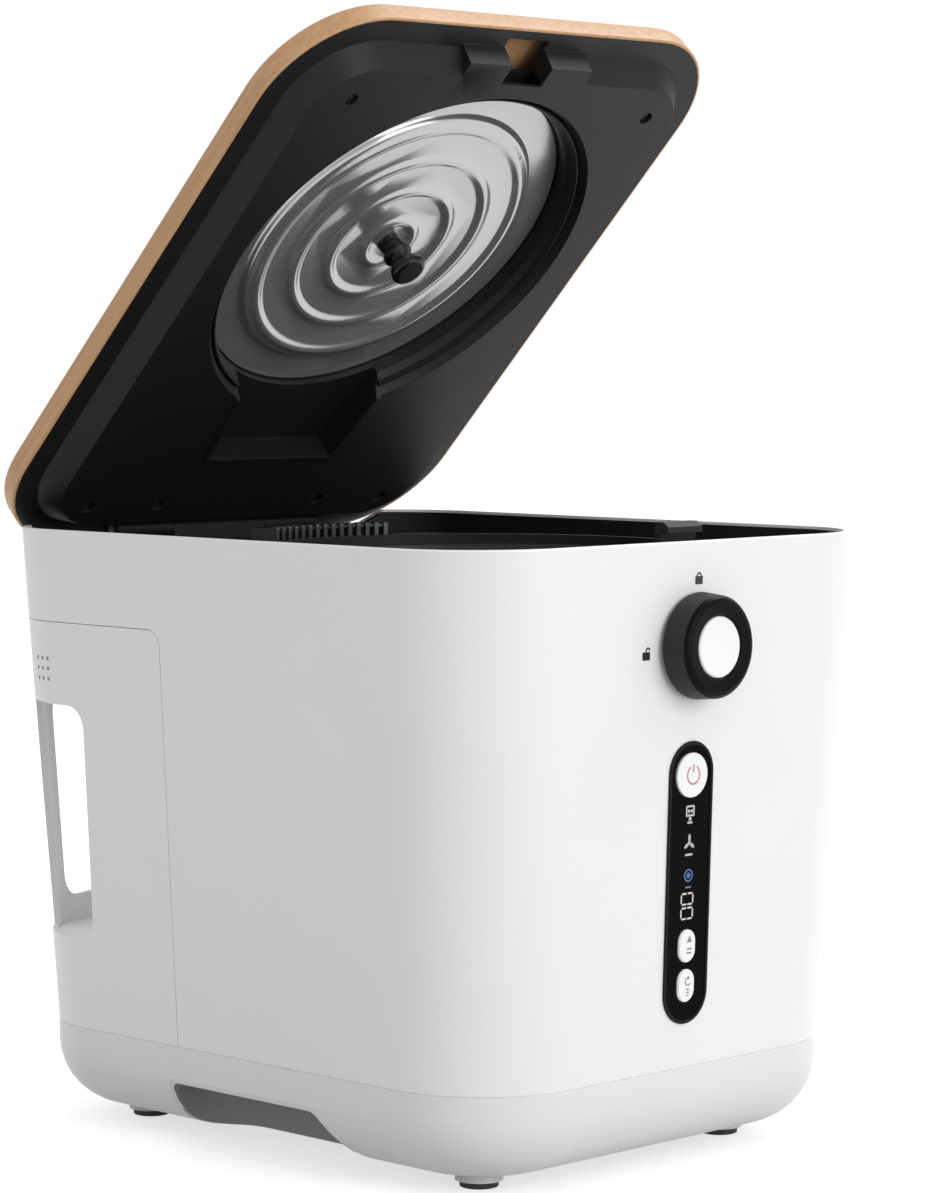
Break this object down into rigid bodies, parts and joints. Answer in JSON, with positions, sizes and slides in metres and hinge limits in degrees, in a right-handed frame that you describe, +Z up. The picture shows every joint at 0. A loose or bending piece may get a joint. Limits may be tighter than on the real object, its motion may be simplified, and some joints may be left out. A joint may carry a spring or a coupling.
{
  "type": "electric food waste composter",
  "caption": "Countertop food waste composter with a sprung wooden lid, stirred bucket, lock knob, push buttons, corner grips and a pull-out filter.",
  "frame": {"origin": "on the floor under the middle of the housing", "axes": "+Z up, the control panel faces -Y, +X to the right of someone who faces the panel"},
  "size_m": [0.2706, 0.3455, 0.505],
  "materials": {
    "shell_white": "satin white moulding",
    "base_white": "satin white moulding",
    "lining_grey": "fine matt grey",
    "rubber_black": "matt",
    "matte_black": "fine matt black",
    "gloss_black": "gloss",
    "sheet_metal": "plain",
    "heater_metal": "cast",
    "bucket_coating": "non-stick coating",
    "steel": "brushed",
    "ripple_steel": "polished, with pressed ripples",
    "gear_ivory": "plain",
    "brass": "plain",
    "motor_grey": "plain",
    "case_grey": "plain",
    "fan_grey": "plain",
    "carbon_black": "carbon block",
    "board_green": "circuit board",
    "button_white": "satin white",
    "wood_cap": "straight grain, satin"
  },
  "bodies": {
    "body": {"housing": "shell_white", "base_tray": "base_white", "recess_linings": "lining_grey", "foot_pads": "rubber_black", "rear_cover": "shell_white", "grip_wells": "base_white", "top_deck": "matte_black", "air_grille": "matte_black", "bucket_well": "sheet_metal", "heater_plate": "heater_metal", "bucket": "bucket_coating", "bucket_teeth": "steel", "gear_axle": "steel", "motor": "motor_grey", "gearbox_case": "case_grey", "gearbox_cover": "case_grey", "shaft_bushes": "brass", "fan_housing": "matte_black", "fan_motor": "motor_grey", "air_duct": "matte_black", "filter_sleeve": "fan_grey", "power_inlet": "matte_black", "inlet_pins": "brass", "main_board": "board_green", "control_board": "board_green", "panel_bezel": "gloss_black", "panel_face": "gloss_black", "latch_guide": "matte_black", "hinge_knuckle": "matte_black", "hinge_springs": "steel", "base_screws": "steel"},
    "lid": {"lid_top": "wood_cap", "lid_frame": "matte_black", "lid_plate": "ripple_steel", "plate_knob": "gloss_black", "lid_gasket": "rubber_black", "lid_screws": "steel", "hinge_pin": "steel"},
    "knob": {"lock_knob": "matte_black", "knob_cap": "button_white", "knob_shaft": "steel"},
    "latch": {"latch_hook": "matte_black"},
    "power_key": {"power_button": "button_white"},
    "upper_key": {"upper_button": "button_white"},
    "lower_key": {"lower_button": "button_white"},
    "drive": {"output_shaft": "steel", "output_gear": "gear_ivory", "stirrer": "steel"},
    "compound": {"compound_gear": "gear_ivory"},
    "pinion": {"motor_pinion": "brass"},
    "fan": {"fan_wheel": "fan_grey"},
    "filter": {"filter_cartridge": "carbon_black", "filter_door": "shell_white"}
  },
  "joints": [
    {"name": "lid_hinge", "type": "hinge", "parent": "body", "child": "lid", "pos_m": [0, 0.152, 0.2722], "axis": [-1, 0, 0], "range_deg": [-45.2, 0], "stiffness_Nm_per_rad": 1, "springref_deg": 91.67},
    {"name": "knob_turn", "type": "hinge", "parent": "body", "child": "knob", "pos_m": [0, -0.1629, 0.231], "axis": [0, 1, 0], "range_deg": [0, 90]},
    {"name": "latch_slide", "type": "slide", "parent": "body", "child": "latch", "axis": [0, -1, 0], "range_m": [0, 0.0035]},
    {"name": "power_press", "type": "slide", "parent": "body", "child": "power_key", "axis": [0, 0.9994, 0.0349], "range_m": [0, 0.0008], "stiffness_N_per_m": 400, "springref_m": -0.001},
    {"name": "upper_press", "type": "slide", "parent": "body", "child": "upper_key", "axis": [0, 0.9994, 0.0349], "range_m": [0, 0.0008], "stiffness_N_per_m": 400, "springref_m": -0.001},
    {"name": "lower_press", "type": "slide", "parent": "body", "child": "lower_key", "axis": [0, 0.9994, 0.0349], "range_m": [0, 0.0008], "stiffness_N_per_m": 400, "springref_m": -0.001},
    {"name": "stirrer_spin", "type": "hinge", "parent": "body", "child": "drive", "pos_m": [0, -0.031, 0.1217], "axis": [0, 0, 1], "continuous": true},
    {"name": "compound_spin", "type": "hinge", "parent": "body", "child": "compound", "pos_m": [0, 0.047, 0.0181], "axis": [0, 0, 1], "continuous": true},
    {"name": "pinion_spin", "type": "hinge", "parent": "body", "child": "pinion", "pos_m": [0, 0.092, 0.0311], "axis": [0, 0, 1], "continuous": true},
    {"name": "fan_spin", "type": "hinge", "parent": "body", "child": "fan", "pos_m": [0, 0.088, 0.234], "axis": [0, 0, 1], "continuous": true},
    {"name": "filter_slide", "type": "slide", "parent": "body", "child": "filter", "axis": [0, 1, 0], "range_m": [0, 0.045]}
  ],
  "couplings": [
    {"joint": "latch_slide", "follows": "knob_turn", "m_per_rad": 0.0022282},
    {"joint": "compound_spin", "follows": "stirrer_spin", "ratio": -3.875},
    {"joint": "pinion_spin", "follows": "stirrer_spin", "ratio": 15.5}
  ]
}
